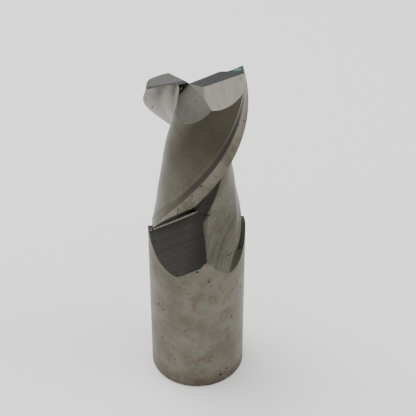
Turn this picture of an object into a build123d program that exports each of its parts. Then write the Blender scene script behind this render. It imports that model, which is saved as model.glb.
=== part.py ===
"""Two-flute, right-hand, high-helix end mill with a plain round shank, in millimetres.

The tool stands on its shank: the origin is the middle of the shank's bottom face, +Z runs up
the axis to the cutting end, and the front of the tool is -Y. The cutter is high-speed steel,
friction-welded to a tougher steel shank and then ground with it. One tooth, the long one,
cuts past the centre so that the tool can plunge; the other stops short of it.
"""

import math
import os

from build123d import *

# Driving dimensions
cutter_diameter = 31.75
overall_length = 114.3
lead = 3.5 * cutter_diameter
weld_height = 42.0
shank_chamfer = 0.4
tip_edge_azimuth = 25.4

radius = cutter_diameter / 2

# Section across the two teeth: share of the cutter radius at degrees behind the cutting edge
land_end = (0.925, 16)
heel = (0.912, 30)
tooth_back = [(0.833, 50), (0.775, 71), (0.695, 96), (0.638, 115)]
ridge = (0.58, 128)
groove_floor = [(0.458, 145), (0.380, 158), (0.375, 168)]
groove_fillet = (0.47, 175)
rake_foot = (0.71, 182.2)

# The full section is twisted down to here; below it the grooves and backs run out in stages,
# and under the last of the ground strips the blank is plain and round
full_section_height = 4.35 * radius
back_end_height = 4.0 * radius
edge_end_height = 3.71 * radius
strip_end_height = 3.33 * radius
strip_start = 23.5
strip_share = 0.918

# Milling wheels that cut the grooves and the tooth backs, and where each one is lifted out.
# Each wheel's faces are given along its axle; it climbs the helix in short steps
wheel_radius = 2 * radius
groove_wheel_low = -2.425 * radius
groove_wheel_high = -1.325 * radius
groove_wheel_corner = 0.03 * radius
following_wheel_setback = 0.175 * radius
back_wheel_low = -1.374 * radius
back_wheel_high = -0.05 * radius
back_wheel_cone = 0.19 * radius
back_wheel_cone_rise = 0.062 * radius
groove_exit = {"azimuth": 206.7, "height": 5.88 * radius, "tilt": 45.8}
groove_reach = 2.0 * radius
groove_steps = 4
back_exit = {"azimuth": 298.7, "height": 4.82 * radius, "tilt": 48.0}
back_reach = 2.58 * radius
back_steps = 7
climb = 0.12 * radius
back_lift = 0.012 * radius

# Ground end: both end edges run in to one point just past the centre
end_meeting = Vector(-0.12 * radius, -0.13 * radius)
meeting_height = overall_length - 0.05 * radius
end_dish = 2.5
relief_lead_in = 0.12 * radius
primary_relief = 7
cutting_block = 4 * radius
# How each tooth's end is relieved: its turn, the width of its primary relief, and the slope behind
end_teeth = [
    {"turn": 0, "primary_width": 0.22 * radius, "secondary_relief": 25},
    {"turn": 180, "primary_width": 0.12 * radius, "secondary_relief": 17},
]

# Each gash: the azimuth its notch wall faces, and the way its sloping faces look
front_gash = {"wall": 291.8, "faces": [(256.6, 64.8), (233.2, 39.9)]}
back_gash = {"wall": 122.0, "faces": [(39.8, 37.5)]}

# Stages of the twisted section, from the bottom up: what each one has besides the round blank
stages = [
    {"low": strip_end_height, "high": edge_end_height, "land": False, "ground_to": 1, "groove": False},
    {"low": edge_end_height, "high": back_end_height, "land": True, "ground_to": 1, "groove": False},
    {"low": back_end_height, "high": full_section_height, "land": True, "ground_to": 2, "groove": False},
    {"low": full_section_height, "high": overall_length, "land": True, "ground_to": 4, "groove": True},
]

os.makedirs("parts", exist_ok=True)


def edge_azimuth(height):
    """Azimuth in degrees of the long tooth's cutting edge at a height."""
    return tip_edge_azimuth - 360 * (overall_length - height) / lead


def on_section(point, turn, height):
    """Section point (share, degrees behind the edge) of the tooth at a turn, at a height."""
    share, degrees = point
    azimuth = math.radians(edge_azimuth(height) + turn - degrees)
    return Vector(share * radius * math.cos(azimuth), share * radius * math.sin(azimuth))


def tooth_outline(turn, stage):
    """One tooth's half of a stage's section: its land, the ground part of its back, its groove."""
    def at(share, degrees):
        return on_section((share, degrees), turn, stage["low"])

    back = [heel] + tooth_back[:stage["ground_to"]]
    if stage["groove"]:
        back.append(ridge)
    if stage["land"]:
        Polyline(at(1, 0), at(*land_end), at(*heel))
    else:
        ThreePointArc(at(1, 0), at(1, strip_start / 2), at(1, strip_start))
        Polyline(at(1, strip_start), at(strip_share, strip_start), at(*heel))
    Spline([at(*point) for point in back])
    if stage["groove"]:
        floor = [at(*point) for point in [ridge] + groove_floor + [groove_fillet, rake_foot]]
        Spline(floor, tangents=(floor[1] - floor[0], at(1, 180) - floor[-1]))
        Line(at(*rake_foot), at(1, 180))
    else:
        share, degrees = back[-1]
        Line(at(share, degrees), at(1, degrees))
        ThreePointArc(at(1, degrees), at(1, (degrees + 180) / 2), at(1, 180))


def twist(low, high):
    """Straight path up the axis, and the helix that turns a section as it climbs."""
    path = Line((0, 0, low), (0, 0, high))
    guide = Helix(lead, high - low, radius, center=(0, 0, low))
    return path, guide


def wheel_place(azimuth, height, tilt, reach, turn, travel):
    """Where a wheel stands after travelling up the helix; its axle is the local Z."""
    turned = math.radians(azimuth + turn + 360 * travel / lead)
    outward = Vector(math.cos(turned), math.sin(turned), 0)
    tangent = Vector(-math.sin(turned), math.cos(turned), 0)
    slope = math.radians(tilt)
    axle = tangent * -math.sin(slope) + Vector(0, 0, 1) * math.cos(slope)
    centre = outward * reach + Vector(0, 0, height + travel)
    return Plane(origin=centre, x_dir=outward, z_dir=axle).location


def facing(azimuth, elevation):
    """Unit vector at an azimuth round the axis and an elevation above the horizontal."""
    level = math.cos(math.radians(elevation))
    turned = math.radians(azimuth)
    return Vector(level * math.cos(turned), level * math.sin(turned), math.sin(math.radians(elevation)))


def space_above(planes):
    """Block round the cutting end, less whatever is below any one of the planes."""
    with BuildPart() as space:
        with Locations((0, 0, overall_length)):
            Box(cutting_block, cutting_block, cutting_block)
        for plane in planes:
            split(bisect_by=plane, keep=Keep.TOP)
    return space.part


def relief_cut(turn, slope, start):
    """Stock ground off one tooth's end behind its edge, at a slope from start behind the edge."""
    corner = on_section((1, 0), turn, overall_length)
    outward = (corner - end_meeting).normalized()
    trailing = Vector(outward.Y, -outward.X)
    drop = start * math.tan(math.radians(primary_relief))
    origin = corner + trailing * start + Vector(0, 0, overall_length - drop)
    normal = (
        Vector(0, 0, 1)
        - outward * math.tan(math.radians(end_dish))
        + trailing * math.tan(math.radians(slope))
    )
    return space_above([
        Plane(origin=origin, z_dir=normal),
        Plane(origin=end_meeting - trailing * relief_lead_in, z_dir=trailing),
        Plane(origin=end_meeting, z_dir=outward),
    ])


def gash_cut(wall, face):
    """Space a gash opens in front of its notch wall and above one sloping face."""
    origin = end_meeting + Vector(0, 0, meeting_height)
    return space_above([
        Plane(origin=origin, z_dir=facing(*face)),
        Plane(origin=origin, z_dir=facing(wall, 0)),
    ])


end_cuts = []
for tooth in end_teeth:
    end_cuts.append(relief_cut(tooth["turn"], primary_relief, 0))
    end_cuts.append(relief_cut(tooth["turn"], tooth["secondary_relief"], tooth["primary_width"]))
for gash in (front_gash, back_gash):
    for face in gash["faces"]:
        end_cuts.append(gash_cut(gash["wall"], face))

# The groove wheel's upper corner is chamfered where it first stops, and set back as it climbs;
# the back wheel has a shallow cone under it
with BuildPart() as groove_wheel:
    with BuildSketch(Plane.XY.offset(groove_wheel_low)):
        Circle(wheel_radius)
    extrude(amount=groove_wheel_high - groove_wheel_low)
    chamfer(groove_wheel.edges().group_by(Axis.Z)[-1], groove_wheel_corner)

with BuildPart() as following_groove_wheel:
    with BuildSketch(Plane.XY.offset(groove_wheel_low)):
        Circle(wheel_radius)
    extrude(amount=groove_wheel_high - groove_wheel_low - following_wheel_setback)

with BuildPart() as back_wheel:
    with BuildSketch(Plane.XY.offset(back_wheel_low)):
        Circle(wheel_radius)
    extrude(amount=back_wheel_high - back_wheel_low)
    with Locations((0, 0, back_wheel_low)):
        Cone(wheel_radius - back_wheel_cone_rise, wheel_radius, back_wheel_cone,
             align=(Align.CENTER, Align.CENTER, Align.MAX))

with BuildPart() as cutter_head:
    with BuildSketch(Plane.XY.offset(weld_height)):
        Circle(radius)
    extrude(amount=strip_end_height - weld_height)
    for stage in stages:
        with BuildSketch(Plane.XY.offset(stage["low"])):
            with BuildLine():
                for turn in (0, 180):
                    tooth_outline(turn, stage)
            make_face()
        path, guide = twist(stage["low"], stage["high"])
        sweep(path=path, binormal=guide)
    for turn in (0, 180):
        with Locations(wheel_place(**groove_exit, reach=groove_reach, turn=turn, travel=0)):
            add(groove_wheel.part, mode=Mode.SUBTRACT)
        for step in range(groove_steps):
            travel = (step + 1) * climb
            with Locations(wheel_place(**groove_exit, reach=groove_reach, turn=turn, travel=travel)):
                add(following_groove_wheel.part, mode=Mode.SUBTRACT)
        for step in range(back_steps):
            travel = step * climb
            reach = back_reach + step * back_lift
            with Locations(wheel_place(**back_exit, reach=reach, turn=turn, travel=travel)):
                add(back_wheel.part, mode=Mode.SUBTRACT)
    for cut in end_cuts:
        add(cut, mode=Mode.SUBTRACT)
cutter_head.part.label = "cutter_head"
export_step(cutter_head.part, "parts/cutter_head.step")

with BuildPart() as shank:
    Cylinder(radius, weld_height, align=(Align.CENTER, Align.CENTER, Align.MIN))
    chamfer(shank.edges().group_by(Axis.Z)[0], shank_chamfer)
shank.part.label = "shank"
export_step(shank.part, "parts/shank.step")
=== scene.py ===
"""Looks of a two-flute end mill standing on its shank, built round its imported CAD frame.

Heights and reaches in the materials are in radii of the tool, angles are in degrees, and the
helical patterns follow the long tooth's cutting edge down the tool.
"""

import math
import random

import bmesh
import bpy
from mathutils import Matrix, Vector
from mathutils.bvhtree import BVHTree


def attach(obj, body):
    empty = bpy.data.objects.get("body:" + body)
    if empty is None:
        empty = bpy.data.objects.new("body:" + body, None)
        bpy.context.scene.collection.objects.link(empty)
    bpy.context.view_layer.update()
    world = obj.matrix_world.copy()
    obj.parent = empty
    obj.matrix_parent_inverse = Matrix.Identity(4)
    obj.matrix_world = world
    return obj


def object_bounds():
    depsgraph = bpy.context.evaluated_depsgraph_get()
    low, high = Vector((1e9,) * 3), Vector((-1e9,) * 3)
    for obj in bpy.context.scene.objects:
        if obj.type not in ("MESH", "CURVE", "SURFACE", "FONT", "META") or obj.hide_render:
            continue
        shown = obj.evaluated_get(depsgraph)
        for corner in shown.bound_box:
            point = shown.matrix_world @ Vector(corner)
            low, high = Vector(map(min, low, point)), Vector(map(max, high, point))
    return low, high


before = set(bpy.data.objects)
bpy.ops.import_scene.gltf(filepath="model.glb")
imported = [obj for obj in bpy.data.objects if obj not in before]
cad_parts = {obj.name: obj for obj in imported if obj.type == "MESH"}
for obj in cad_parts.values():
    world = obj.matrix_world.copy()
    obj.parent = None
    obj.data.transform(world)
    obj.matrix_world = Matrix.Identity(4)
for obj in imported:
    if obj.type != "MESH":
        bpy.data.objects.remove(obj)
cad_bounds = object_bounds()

# Sizes of the tool, read from the frame, in metres
BOX_LOW, BOX_HIGH = cad_bounds
RADIUS = (BOX_HIGH[0] - BOX_LOW[0]) / 2
HEIGHT = BOX_HIGH[2]

# How the flutes wind: one turn in LEAD metres, and where the long tooth's corner stands
LEAD = 7 * RADIUS
TIP_AZIMUTH = math.radians(25.4)

# Where the land, the strip beside it and the tooth's back end, in degrees behind the edge
LAND_DEGREES = 16.5
STRIP_DEGREES = 25.5
RIDGE_DEGREES = 128.0

# How the two milling wheels stood where they left the steel, and the azimuth each cut faces
GROOVE_WHEEL = {"azimuth": 206.7, "height": 5.88, "tilt": 45.8, "middle": 236}
BACK_WHEEL = {"azimuth": 298.7, "height": 4.82, "tilt": 48.0, "middle": 310}

# How far along its axle the groove wheel leaves its side face, its corner, where a highlight is painted,
# and the line of painted shadow along the cutting edge
WHEEL_SIDE = (-1.31, -1.33)
WHEEL_CORNER = (-1.356, -1.331)
EDGE_SHADOW_LINE = (-1.326, -1.306)

# Share of the light that the tool's overall tarnish lets back
TARNISH = 0.78

# Torn steel: sections along a burr and corners in each, and the seed of all the loose pieces
BURR_SECTIONS = 14
BURR_CORNERS = 5
SEED = 7

# Camera: lens and sensor in millimetres, place in metres, tilt and turn in degrees
LENS = 105.66
SENSOR = 36
CAMERA_PLACE = (0, -0.3109, 0.3047)
CAMERA_TILT = 52.41
CAMERA_TURN = -0.68
FLOOR_REACH = 3.0


class Value:
    """A socket in a shader tree that can be written in ordinary arithmetic."""

    def __init__(self, tree, socket):
        self.tree = tree
        self.socket = socket

    def _math(self, operation, *others):
        node = self.tree.nodes.new("ShaderNodeMath")
        node.operation = operation
        for index, item in enumerate((self,) + others):
            plug(self.tree, item, node.inputs[index])
        return Value(self.tree, node.outputs[0])

    def __add__(self, other):
        return self._math("ADD", other)

    def __sub__(self, other):
        return self._math("SUBTRACT", other)

    def __mul__(self, other):
        return self._math("MULTIPLY", other)

    def __truediv__(self, other):
        return self._math("DIVIDE", other)

    __radd__ = __add__
    __rmul__ = __mul__

    def flipped(self):
        """One minus the value."""
        return Value(self.tree, number(self.tree, 1.0))._math("SUBTRACT", self)

    def wrapped(self, period):
        """The value brought between 0 and a period."""
        return self._math("WRAP", period, 0.0)

    def least(self, other):
        """The lesser of the two."""
        return self._math("MINIMUM", other)

    def most(self, other):
        """The greater of the two."""
        return self._math("MAXIMUM", other)

    def root(self):
        return self._math("SQRT")

    def angle_with(self, across):
        """atan2 of this value over the one across."""
        return self._math("ARCTAN2", across)

    def step(self, start, end):
        """0 below start, 1 above end, with a smooth rise between; start may be above end."""
        node = self.tree.nodes.new("ShaderNodeMapRange")
        node.interpolation_type = "SMOOTHSTEP"
        plug(self.tree, self, node.inputs["Value"])
        if start > end:
            start, end = end, start
            node.inputs["To Min"].default_value = 1.0
            node.inputs["To Max"].default_value = 0.0
        node.inputs["From Min"].default_value = start
        node.inputs["From Max"].default_value = end
        return Value(self.tree, node.outputs["Result"])

    def band(self, start, end, soft):
        """1 between start and end, with soft shoulders."""
        return self.step(start - soft, start + soft) * self.step(end + soft, end - soft)


def number(tree, value):
    """Socket that holds a number."""
    node = tree.nodes.new("ShaderNodeValue")
    node.outputs[0].default_value = value
    return node.outputs[0]


def plug(tree, item, socket):
    """Feeds a value, a socket or a constant to a socket."""
    if isinstance(item, Value):
        item = item.socket
    if isinstance(item, bpy.types.NodeSocket):
        tree.links.new(item, socket)
    else:
        socket.default_value = item


def vector(tree, x, y, z):
    """Socket that holds three values as a vector."""
    node = tree.nodes.new("ShaderNodeCombineXYZ")
    for item, socket in zip((x, y, z), node.inputs):
        plug(tree, item, socket)
    return node.outputs[0]


def along(tree, where, direction):
    """How far a vector reaches along a direction."""
    node = tree.nodes.new("ShaderNodeVectorMath")
    node.operation = "DOT_PRODUCT"
    tree.links.new(where, node.inputs[0])
    node.inputs[1].default_value = direction
    return Value(tree, node.outputs["Value"])


def noise(tree, where, scale, detail=3.0, roughness=0.55, distortion=0.0):
    """Cloudy pattern between 0 and 1."""
    node = tree.nodes.new("ShaderNodeTexNoise")
    tree.links.new(where, node.inputs["Vector"])
    node.inputs["Scale"].default_value = scale
    node.inputs["Detail"].default_value = detail
    node.inputs["Roughness"].default_value = roughness
    node.inputs["Distortion"].default_value = distortion
    return Value(tree, node.outputs["Fac"])


def pits(tree, where, scale, share, size):
    """Small round pits: 1 inside them. share is the part of the cells that has one."""
    node = tree.nodes.new("ShaderNodeTexVoronoi")
    node.inputs["Scale"].default_value = scale
    tree.links.new(where, node.inputs["Vector"])
    chance = tree.nodes.new("ShaderNodeSeparateColor")
    tree.links.new(node.outputs["Color"], chance.inputs[0])
    chosen = Value(tree, chance.outputs[0]).step(share + 0.02, share - 0.02)
    return Value(tree, node.outputs["Distance"]).step(size, size * 0.45) * chosen


def tint(tree, below, above, factor):
    """One colour laid over another by a factor."""
    node = tree.nodes.new("ShaderNodeMix")
    node.data_type = "RGBA"
    plug(tree, factor, node.inputs[0])
    plug(tree, below, node.inputs[6])
    plug(tree, above, node.inputs[7])
    return node.outputs[2]


def shade(tree, colour, factor):
    """A colour made darker or lighter by a factor."""
    node = tree.nodes.new("ShaderNodeVectorMath")
    node.operation = "SCALE"
    plug(tree, colour[:3] if isinstance(colour, tuple) else colour, node.inputs[0])
    plug(tree, factor, node.inputs["Scale"])
    return node.outputs[0]


def rgb(red, green, blue):
    """Linear colour from ordinary 0 to 255 screen values."""
    def linear(value):
        value = value / 255
        return value / 12.92 if value <= 0.04045 else ((value + 0.055) / 1.055) ** 2.4
    return (linear(red), linear(green), linear(blue), 1.0)


def material(name):
    """New material with its tree and its shader."""
    made = bpy.data.materials.new(name)
    made.use_nodes = True
    tree = made.node_tree
    shader = tree.nodes["Principled BSDF"]
    return made, tree, shader


class Place:
    """Where a point of the tool is: across, round and along it, and behind the cutting edge."""

    def __init__(self, tree):
        coordinates = tree.nodes.new("ShaderNodeTexCoord")
        self.point = coordinates.outputs["Object"]
        self.x, self.y, self.z = (part / RADIUS for part in self._parts(tree, self.point))
        self.share = (self.x * self.x + self.y * self.y).root()
        self.azimuth = self.y.angle_with(self.x)
        geometry = tree.nodes.new("ShaderNodeNewGeometry")
        self.normal = geometry.outputs["Normal"]
        nx, ny, nz = self._parts(tree, self.normal)
        self.facing_out = (nx * self.x + ny * self.y) / self.share.most(0.001)
        self.facing_up = nz
        climb = (self.z - HEIGHT / RADIUS) * (2 * math.pi * RADIUS / LEAD)
        edge = climb + TIP_AZIMUTH
        self.behind = (edge - self.azimuth).wrapped(math.pi) * (180 / math.pi)
        self.long_tooth = (edge - self.azimuth).wrapped(2 * math.pi).step(math.pi + 0.01, math.pi - 0.01)
        self.short_edge = edge * (180 / math.pi) + 180.0

    @staticmethod
    def _parts(tree, where):
        """A vector's x, y and z."""
        split = tree.nodes.new("ShaderNodeSeparateXYZ")
        tree.links.new(where, split.inputs[0])
        return [Value(tree, output) for output in split.outputs]


def bump(tree, shader, height, distance, strength):
    """Relief too fine for the mesh."""
    node = tree.nodes.new("ShaderNodeBump")
    plug(tree, height, node.inputs["Height"])
    node.inputs["Distance"].default_value = distance
    node.inputs["Strength"].default_value = strength
    tree.links.new(node.outputs[0], shader.inputs["Normal"])


def tarnished_shank(tree, place):
    """Colour, dark pits and fine grain of the ground shank: olive-grey, with tints of rust."""
    cloud = noise(tree, place.point, 95, 4, 0.6)
    fine = noise(tree, place.point, 900, 3, 0.65)
    colour = tint(tree, rgb(102, 99, 87), rgb(120, 117, 105), cloud.step(0.35, 0.65))
    olive = noise(tree, place.point, 210, 4).step(0.5, 0.7)
    colour = tint(tree, colour, rgb(92, 87, 72), olive * 0.6)
    rust = noise(tree, place.point, 120, 5, 0.7, 0.4).step(0.55, 0.7)
    colour = tint(tree, colour, rgb(102, 80, 58), rust * 0.7)
    colour = shade(tree, colour, fine * 0.5 + 0.75)
    base = place.z.step(0.5, 0.0) * noise(tree, place.point, 160, 4).step(0.3, 0.6)
    colour = tint(tree, colour, rgb(84, 72, 54), base * 0.8)
    crowded = noise(tree, place.point, 60, 2).step(0.5, 0.62)
    dots = pits(tree, place.point, 700, 0.16, 0.36) * (crowded * 0.8 + 0.2)
    spots = pits(tree, place.point, 260, 0.06, 0.2)
    dark = dots.most(spots)
    colour = tint(tree, colour, rgb(38, 32, 24), dark * 0.85)
    return colour, dark, fine


def shank_steel():
    """Plain ground shank."""
    made, tree, shader = material("shank_steel")
    place = Place(tree)
    colour, dark, fine = tarnished_shank(tree, place)
    plug(tree, shade(tree, colour, TARNISH), shader.inputs["Base Color"])
    shader.inputs["Metallic"].default_value = 0.75
    plug(tree, fine * 0.15 + dark * 0.3 + 0.4, shader.inputs["Roughness"])
    bump(tree, shader, fine * 0.25 - dark, 0.0002, 0.4)
    return made


def wheel_marks(tree, place, wheel, scale):
    """How far along a milling wheel's axle a point is, in radii from the wheel's middle, and the
    streaks the wheel leaves, which run round it and so change only along its axle."""
    turned = math.radians(wheel["azimuth"])
    slope = math.radians(wheel["tilt"])
    facing = math.radians(wheel["middle"])
    sideways = (math.sin(turned) * math.sin(slope), -math.cos(turned) * math.sin(slope), 0)
    front = along(tree, place.point, (math.cos(facing), math.sin(facing), 0)).step(-0.0001, 0.0001)
    reach = along(tree, place.point, sideways) * (front * 2.0 - 1.0)
    reach = reach + along(tree, place.point, (0, 0, math.cos(slope)))
    where = vector(tree, reach * scale, place.z * 0.12, place.azimuth * 0.12)
    return reach / RADIUS - wheel["height"] * math.cos(slope), noise(tree, where, 1.0, 4, 0.65)


def near(tree, place, centre, size, stretch=(1, 1, 1)):
    """1 close to a point of the tool, falling off raggedly to 0 at a size; all in radii."""
    gap = None
    for value, middle, wide in zip((place.x, place.y, place.z), centre, stretch):
        offset = (value - middle) / wide
        gap = offset * offset if gap is None else gap + offset * offset
    ragged = noise(tree, place.point, 1300, 3) * size * 1.1
    return (gap.root() + ragged).step(size * 1.15, size * 0.85)


class Grain:
    """Patterns that the whole cutter head shares, and the marks of its two milling wheels."""

    def __init__(self, tree, place):
        wide = vector(tree, place.behind * 0.45, place.share * 3, place.z * 0.25)
        fine = vector(tree, place.behind * 1.6, place.share * 6, place.z * 0.4)
        self.helical = noise(tree, wide, 1.0, 4, 0.65)
        self.lines = noise(tree, fine, 1.0, 3, 0.6)
        self.cloud = noise(tree, place.point, 110, 4, 0.6)
        self.speckle = noise(tree, place.point, 1500, 2)
        self.specks = pits(tree, place.point, 900, 0.1, 0.3)
        self.back_reach, self.marks = wheel_marks(tree, place, BACK_WHEEL, 1500)
        self.groove_reach, self.streaks = wheel_marks(tree, place, GROOVE_WHEEL, 2600)


def tooth_backs(tree, place, grain, low_back):
    """Colour of the backs: dark brown-olive high up from painted shade, which stands in for the dark
    surroundings they reflect, lighter towards the run-out and the ridge.
    """
    colour = tint(tree, rgb(90, 88, 78), rgb(112, 109, 98), grain.cloud.step(0.3, 0.7))
    # Painted shade: the backs are darkened high up, where they reflect the dark surroundings
    shaded = place.z.step(4.3, 6.6) * place.behind.step(112, 80)
    colour = tint(tree, colour, rgb(60, 56, 45), shaded * 0.85)
    brown = noise(tree, place.point, 140, 3).step(0.5, 0.75)
    colour = tint(tree, colour, rgb(84, 74, 54), brown * 0.3)
    colour = shade(tree, colour, grain.helical * 0.5 + grain.lines * 0.45 + 0.52)
    colour = shade(tree, colour, (grain.marks - 0.5) * low_back * 1.1 + low_back * -0.2 + 1.0)
    return tint(tree, colour, rgb(44, 39, 30), grain.specks * 0.7)


def lands(tree, place, grain, colour):
    """Lays over a colour the worn, nicked lands, the dark strip beside each and a thin line of painted
    shade where each land ends; also the strip.
    """
    behind = place.behind
    rim = place.share.step(0.84, 0.88) * place.facing_out.step(0.35, 0.5)
    land = rim * behind.step(LAND_DEGREES + 0.8, LAND_DEGREES - 0.8) * place.z.step(3.6, 3.7)
    worn = tint(tree, rgb(96, 92, 79), rgb(122, 118, 105), grain.cloud.step(0.35, 0.6))
    worn = shade(tree, worn, grain.lines * 0.5 + grain.speckle * 0.5 + 0.45)
    colour = tint(tree, colour, worn, land)
    nicks = pits(tree, place.point, 700, 0.12, 0.35) * land
    colour = tint(tree, colour, rgb(40, 36, 28), nicks * 0.8)

    on_long = place.z.step(4.2, 5.4) * place.long_tooth
    on_short = place.z.step(3.3, 3.36) * place.long_tooth.flipped()
    strip = rim * behind.band(LAND_DEGREES + 0.5, STRIP_DEGREES, 1.2) * (on_long + on_short)
    # Painted shade: a thin dark line, in the strip's colours, along the step where each land ends
    thin = rim * behind.band(LAND_DEGREES, LAND_DEGREES + 2.0, 0.8) * place.z.step(3.7, 3.9)
    dark = tint(tree, rgb(60, 56, 52), rgb(26, 21, 22), place.z.step(5.4, 6.8))
    dark = shade(tree, dark, grain.lines * 0.8 + 0.6)
    return tint(tree, colour, dark, strip.most(thin * 0.7) * 0.92), strip


def back_wheel_shade(tree, place, grain, colour):
    """Lays painted shade over a colour on the conical face that the back wheel leaves beside the
    neighbouring tooth, which faces away from the light.
    """
    run_out_shade = grain.back_reach.step(-1.33, -1.39) * place.z.step(4.5, 4.1)
    run_out_shade = run_out_shade * place.behind.band(16.5, 95, 1.5) * place.share.step(0.998, 0.994)
    # Painted shade, streaked by the wheel's marks, for the conical face turned away from the light
    dark = shade(tree, rgb(60, 57, 50), grain.marks * 0.7 + 0.65)
    return tint(tree, colour, dark, run_out_shade * 0.85)


def grooves(tree, place, grain, colour, past, wall):
    """Lays the grooves, dark with painted shade and streaked by the wheel, over a colour; also where
    they are.
    """
    behind = place.behind
    inner = place.share.step(0.997, 0.993)
    overcut = grain.groove_reach.step(*WHEEL_SIDE) * behind.step(26, 24) * place.z.step(5.0, 4.9)
    groove = past.step(-0.8, 0.8).most(overcut).most(wall) * inner * place.z.step(6.0, 5.2)
    # Painted shade: the grooves are very dark where their faces turn away from the light; the streaks
    # over it are the wheel's real marks
    groove_shade = tint(tree, rgb(50, 48, 43), rgb(68, 67, 62), past.step(4, 34).most(overcut))
    colour = tint(tree, colour, shade(tree, groove_shade, grain.streaks * 1.1 + 0.45), groove)

    mouth = place.z.step(4.97, 4.94) * place.z.step(3.66, 3.7)
    chamfered = mouth * inner * (overcut + past.step(15, 25)).least(1.0)
    # Painted highlight: a pale band on the narrow ledge that the wheel's corner leaves, which faces up
    # to the light
    corner = grain.groove_reach.band(*WHEEL_CORNER, 0.003) * chamfered
    colour = tint(tree, colour, rgb(142, 139, 126), corner)
    on_land = mouth * place.facing_out.step(0.5, 0.7) * place.share.step(0.9, 0.92)
    on_land = on_land * behind.step(17, 15)
    # Painted shadow: a ragged, very dark line on the land along the cutting edge, where the edge shades
    # the undercut beside it
    ragged = grain.groove_reach + (noise(tree, place.point, 1500, 2) - 0.5) * 0.03
    edge_shadow = ragged.band(*EDGE_SHADOW_LINE, 0.003) * on_land
    return tint(tree, colour, rgb(24, 20, 16), edge_shadow * 0.95), groove


def rake_faces(tree, place, grain, colour, past, wall):
    """Lays the bare rake faces near the tip over a colour."""
    rake = past.step(8, 20).most(wall) * place.z.step(5.4, 6.2)
    bare = tint(tree, rgb(142, 139, 131), rgb(112, 110, 103), past.step(40, 20) * wall.flipped())
    return tint(tree, colour, shade(tree, bare, grain.cloud * 0.5 + 0.75), rake)


def ground_end(tree, place, grain):
    """Colour of the end: dark primary relief, pale secondary relief with grinding lines, and
    grey gash faces between them. The secondary relief is pale partly from its grinding and partly from
    painted light where it faces the lamps."""
    end = tint(tree, rgb(96, 95, 88), rgb(114, 112, 104), grain.cloud.step(0.3, 0.7))
    end = tint(tree, end, rgb(78, 77, 71), place.facing_up.step(0.88, 0.9))
    across = vector(tree, place.x * 26 + place.z * 9, place.y * 2, 0.0)
    # Partly painted light: the secondary relief, picked by the way it faces, is painted pale as if lit,
    # over its real grinding lines
    pale = shade(tree, rgb(150, 145, 134), noise(tree, across, 1.0, 4, 0.65) * 0.8 + 0.58)
    facing_right = along(tree, place.normal, (1, 0, 0)).step(0.0, 0.08)
    facing_front = along(tree, place.normal, (0, 1, 0)).step(0.0, -0.1)
    secondary = place.facing_up.step(0.89, 0.9) * facing_right * facing_front
    end = tint(tree, end, pale, secondary)
    primary = shade(tree, rgb(66, 68, 66), grain.speckle * 0.7 + 0.65)
    end = tint(tree, end, primary, place.facing_up.step(0.975, 0.985))
    return tint(tree, end, rgb(30, 27, 20), grain.specks * 0.6)


def residue(tree, place, grain, colour, top, groove):
    """Lays oil and painted shade in the notch at the middle of the end, and dried coolant, over a
    colour; also the coolant on the end."""
    notch_wall = along(tree, place.normal, (0.371, -0.928, 0.0)).step(0.985, 0.995)
    notch = notch_wall * place.z.step(6.5, 6.6) * place.share.step(0.6, 0.5)
    # Painted shade with oil over it: the deep notch walls are very dark because the notch is shadowed
    oil_and_shade = tint(tree, rgb(12, 11, 9), rgb(56, 56, 32), grain.speckle.step(0.45, 0.6))
    colour = tint(tree, colour, oil_and_shade, notch)
    drop = near(tree, place, (-0.27, -0.2, 7.08), 0.05) * notch
    colour = tint(tree, colour, rgb(112, 114, 58), drop)
    mint = near(tree, place, (0.78, 0.3, 7.19), 0.13, (1.9, 0.6, 1))
    patchy = (grain.speckle * 0.6 + 0.5).least(1.0)
    colour = tint(tree, colour, rgb(92, 146, 122), mint * top * patchy)
    coolant = near(tree, place, (-0.43, -0.76, 3.9), 0.17, (1.5, 1.5, 0.45)) * groove
    return tint(tree, colour, rgb(40, 84, 66), coolant * 0.7), mint


def high_speed_steel():
    """Cutter head: milled grooves and backs, ground lands and end, and a tarnished blank."""
    made, tree, shader = material("high_speed_steel")
    place = Place(tree)
    grain = Grain(tree, place)
    shank_colour, dark, fine = tarnished_shank(tree, place)
    low_back = place.z.step(4.6, 3.9)
    past = place.behind - (place.short_edge + 78.0).least(RIDGE_DEGREES)
    wall = place.behind.step(4, 3) * place.facing_out.step(0.5, 0.35)

    colour = tooth_backs(tree, place, grain, low_back)
    colour, strip = lands(tree, place, grain, colour)
    colour = back_wheel_shade(tree, place, grain, colour)
    colour, groove = grooves(tree, place, grain, colour, past, wall)

    # The round blank below the run-outs has the same tarnish as the shank
    blank = place.share.step(0.9965, 0.9985) * place.facing_out.step(0.9, 0.98)
    blank = blank * place.z.step(4.2, 4.0) * strip.flipped()
    colour = tint(tree, colour, shank_colour, blank)

    colour = rake_faces(tree, place, grain, colour, past, wall)
    top = place.z.step(6.1, 6.2) * place.facing_up.step(0.3, 0.45)
    colour = tint(tree, colour, ground_end(tree, place, grain), top)
    colour, mint = residue(tree, place, grain, colour, top, groove)

    plug(tree, shade(tree, colour, TARNISH), shader.inputs["Base Color"])
    shader.inputs["Metallic"].default_value = 0.8
    plug(tree, grain.lines * 0.12 + 0.34 + blank * 0.12 + mint * 0.3, shader.inputs["Roughness"])
    milled = grain.streaks * groove * 1.2 + grain.marks * low_back
    bump(tree, shader, grain.lines * 0.5 + fine * 0.2 - dark * blank + milled, 0.0001, 0.4)
    return made


def steel_surface():
    """The cutter head's own surface, for finding the point on it nearest to another point."""
    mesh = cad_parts["cutter_head"].data
    corners = [vertex.co for vertex in mesh.vertices]
    return BVHTree.FromPolygons(corners, [polygon.vertices for polygon in mesh.polygons])


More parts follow.
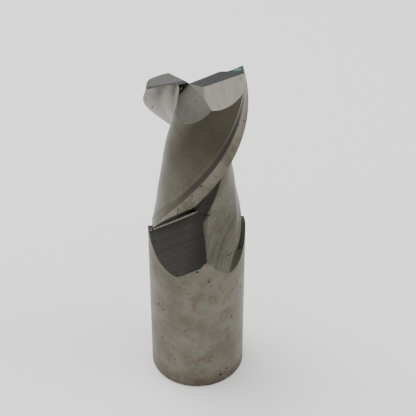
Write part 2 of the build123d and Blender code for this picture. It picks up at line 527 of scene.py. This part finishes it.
def on_steel(surface, degrees, z, share):
    """Surface point nearest to an azimuth, a height in radii and a share of the radius."""
    turned = math.radians(degrees)
    wanted = Vector((share * math.cos(turned), share * math.sin(turned), z)) * RADIUS
    return surface.find_nearest(wanted)[0]


def link_piece(name, form, finish):
    """Hangs a small loose piece of steel on the tool, inside the tool's own box."""
    mesh = bpy.data.meshes.new(name)
    form.to_mesh(mesh)
    form.free()
    for vertex in mesh.vertices:
        vertex.co.x = min(max(vertex.co.x, BOX_LOW[0]), BOX_HIGH[0])
        vertex.co.y = min(max(vertex.co.y, BOX_LOW[1]), BOX_HIGH[1])
    mesh.materials.append(finish)
    for polygon in mesh.polygons:
        polygon.use_smooth = True
    piece = bpy.data.objects.new(name, mesh)
    bpy.context.scene.collection.objects.link(piece)
    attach(piece, "root")


def crumb(name, centre, size, finish, dice):
    """Ragged lump of grit or torn steel stuck on the surface; size is its radius in metres."""
    form = bmesh.new()
    bmesh.ops.create_icosphere(form, subdivisions=2, radius=1.0)
    lean = [dice.uniform(0.6, 1.3) for _ in range(3)]
    for vertex in form.verts:
        swell = size * dice.uniform(0.7, 1.15)
        spread = Vector([part * stretch for part, stretch in zip(vertex.co, lean)])
        vertex.co = centre + spread * swell
    link_piece(name, form, finish)


def burr(name, surface, start, end, share, thickness, finish, dice):
    """Torn ridge of steel along a rim, between two (azimuth, height) places, thin at both ends."""
    form = bmesh.new()
    rings = []
    for index in range(BURR_SECTIONS):
        way = index / (BURR_SECTIONS - 1)
        degrees = start[0] + (end[0] - start[0]) * way + dice.uniform(-0.4, 0.4)
        z = start[1] + (end[1] - start[1]) * way + dice.uniform(-0.008, 0.008)
        swell = thickness * (math.sin(math.pi * way) * dice.uniform(0.35, 1.0) + 0.08)
        middle = on_steel(surface, degrees, z, share)
        outward = Vector((middle.x, middle.y, 0)).normalized()
        ring = []
        for side in range(BURR_CORNERS):
            turn = 2 * math.pi * side / BURR_CORNERS
            offset = outward * math.cos(turn) + Vector((0, 0, math.sin(turn)))
            ring.append(form.verts.new(middle + offset * swell * dice.uniform(0.7, 1.1)))
        rings.append(ring)
    for ring, following in zip(rings, rings[1:]):
        for side in range(BURR_CORNERS):
            beside = (side + 1) % BURR_CORNERS
            form.faces.new((ring[side], ring[beside], following[beside], following[side]))
    form.faces.new(list(reversed(rings[0])))
    form.faces.new(rings[-1])
    bmesh.ops.recalc_face_normals(form, faces=form.faces)
    link_piece(name, form, finish)


def grime():
    """Dark, rough grime with oil in it, and ripped steel, for the burrs and crumbs."""
    made, tree, shader = material("grimy_steel")
    place = Place(tree)
    blotch = noise(tree, place.point, 1800, 3)
    colour = tint(tree, rgb(30, 26, 20), rgb(78, 72, 58), blotch.step(0.45, 0.65))
    plug(tree, colour, shader.inputs["Base Color"])
    shader.inputs["Metallic"].default_value = 0.5
    plug(tree, blotch * 0.3 + 0.45, shader.inputs["Roughness"])
    bump(tree, shader, blotch, 0.0001, 0.5)
    return made


def burrs_and_crumbs():
    """Torn steel at the ends of both edges and along the run-out rims, and stray crumbs.

    Each burr has its two ends as (azimuth, height), its share of the radius and its thickness in
    metres; each crumb has its azimuth, height, share of the radius and size in metres."""
    dice = random.Random(SEED)
    finish = grime()
    surface = steel_surface()
    burrs = {
        "edge_burr": ((202, 3.75), (188, 3.74), 0.983, 0.00034),
        "left_burr": ((234.3, 3.22), (247, 3.1), 0.999, 0.00018),
        "right_burr": ((247, 3.1), (263, 3.32), 0.999, 0.00016),
        "side_burr": ((211.4, 3.53), (204.3, 3.73), 0.999, 0.00018),
        "heel_burr": ((326.7, 3.25), (315.4, 3.06), 0.999, 0.00014),
    }
    for turn, which in ((0, "long"), (180, "short")):
        for name, (start, end, share, thickness) in burrs.items():
            start = (start[0] + turn, start[1])
            end = (end[0] + turn, end[1])
            burr(f"{name}_{which}", surface, start, end, share, thickness, finish, dice)
    crumbs = [
        (190.5, 3.77, 0.972, 0.00034),
        (194.0, 3.79, 0.968, 0.00030),
        (199.0, 3.78, 0.972, 0.00026),
        (254.5, 4.93, 0.958, 0.00018),
        (247.0, 4.69, 0.955, 0.00022),
        (246.0, 3.09, 0.996, 0.00024),
        (259.5, 3.27, 0.996, 0.00020),
        (253.0, 3.18, 0.996, 0.00024),
        (213.0, 3.51, 0.996, 0.00022),
        (164.0, 6.36, 0.88, 0.00026),
        (181.5, 6.72, 0.94, 0.00020),
    ]
    for index, (degrees, z, share, size) in enumerate(crumbs):
        crumb(f"crumb_{index + 1}", on_steel(surface, degrees, z, share), size, finish, dice)


def pale_floor():
    """Plain pale floor."""
    corners = [(-1, -1), (1, -1), (1, 1), (-1, 1)]
    mesh = bpy.data.meshes.new("floor")
    mesh.from_pydata([(x * FLOOR_REACH, y * FLOOR_REACH, 0) for x, y in corners], [], [(0, 1, 2, 3)])
    floor = bpy.data.objects.new("floor", mesh)
    bpy.context.scene.collection.objects.link(floor)
    made, tree, shader = material("pale_floor")
    coordinates = tree.nodes.new("ShaderNodeTexCoord").outputs["Object"]
    grain = noise(tree, coordinates, 300, 2)
    colour = tint(tree, rgb(238, 236, 233), rgb(242, 240, 237), grain)
    plug(tree, colour, shader.inputs["Base Color"])
    shader.inputs["Roughness"].default_value = 0.9
    mesh.materials.append(made)


def lights():
    """Soft sky, brighter overhead than at the horizon, and two large lamps."""
    world = bpy.data.worlds.new("studio")
    bpy.context.scene.world = world
    world.use_nodes = True
    tree = world.node_tree
    background = tree.nodes["Background"]
    background.inputs["Color"].default_value = (0.98, 0.98, 1.0, 1.0)
    upward = tree.nodes.new("ShaderNodeSeparateXYZ")
    tree.links.new(tree.nodes.new("ShaderNodeTexCoord").outputs["Generated"], upward.inputs[0])
    brightness = Value(tree, upward.outputs[2]).step(0.0, 0.6) * 0.33 + 0.88
    plug(tree, brightness, background.inputs["Strength"])

    target = Vector((0, 0, HEIGHT * 0.6))
    for name, place, width, power in (
        ("key_light", (-0.35, 0.25, 0.9), 0.7, 8.3),
        ("fill_light", (0.7, -0.1, 0.7), 0.5, 2.8),
    ):
        light = bpy.data.lights.new(name, "AREA")
        light.energy = power
        light.size = width
        lamp = bpy.data.objects.new(name, light)
        lamp.location = place
        lamp.rotation_euler = (target - Vector(place)).to_track_quat("-Z", "Y").to_euler()
        bpy.context.scene.collection.objects.link(lamp)


def front_camera():
    """Camera in front of the tool and above it, looking down its front."""
    camera = bpy.data.objects.new("camera", bpy.data.cameras.new("camera"))
    camera.data.lens = LENS
    camera.data.sensor_width = SENSOR
    camera.location = CAMERA_PLACE
    camera.rotation_euler = (math.radians(CAMERA_TILT), 0, math.radians(CAMERA_TURN))
    bpy.context.scene.collection.objects.link(camera)
    bpy.context.scene.camera = camera


for node, finish in (("cutter_head", high_speed_steel()), ("shank", shank_steel())):
    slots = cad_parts[node].data.materials
    slots.clear()
    slots.append(finish)

burrs_and_crumbs()
pale_floor()
lights()
front_camera()
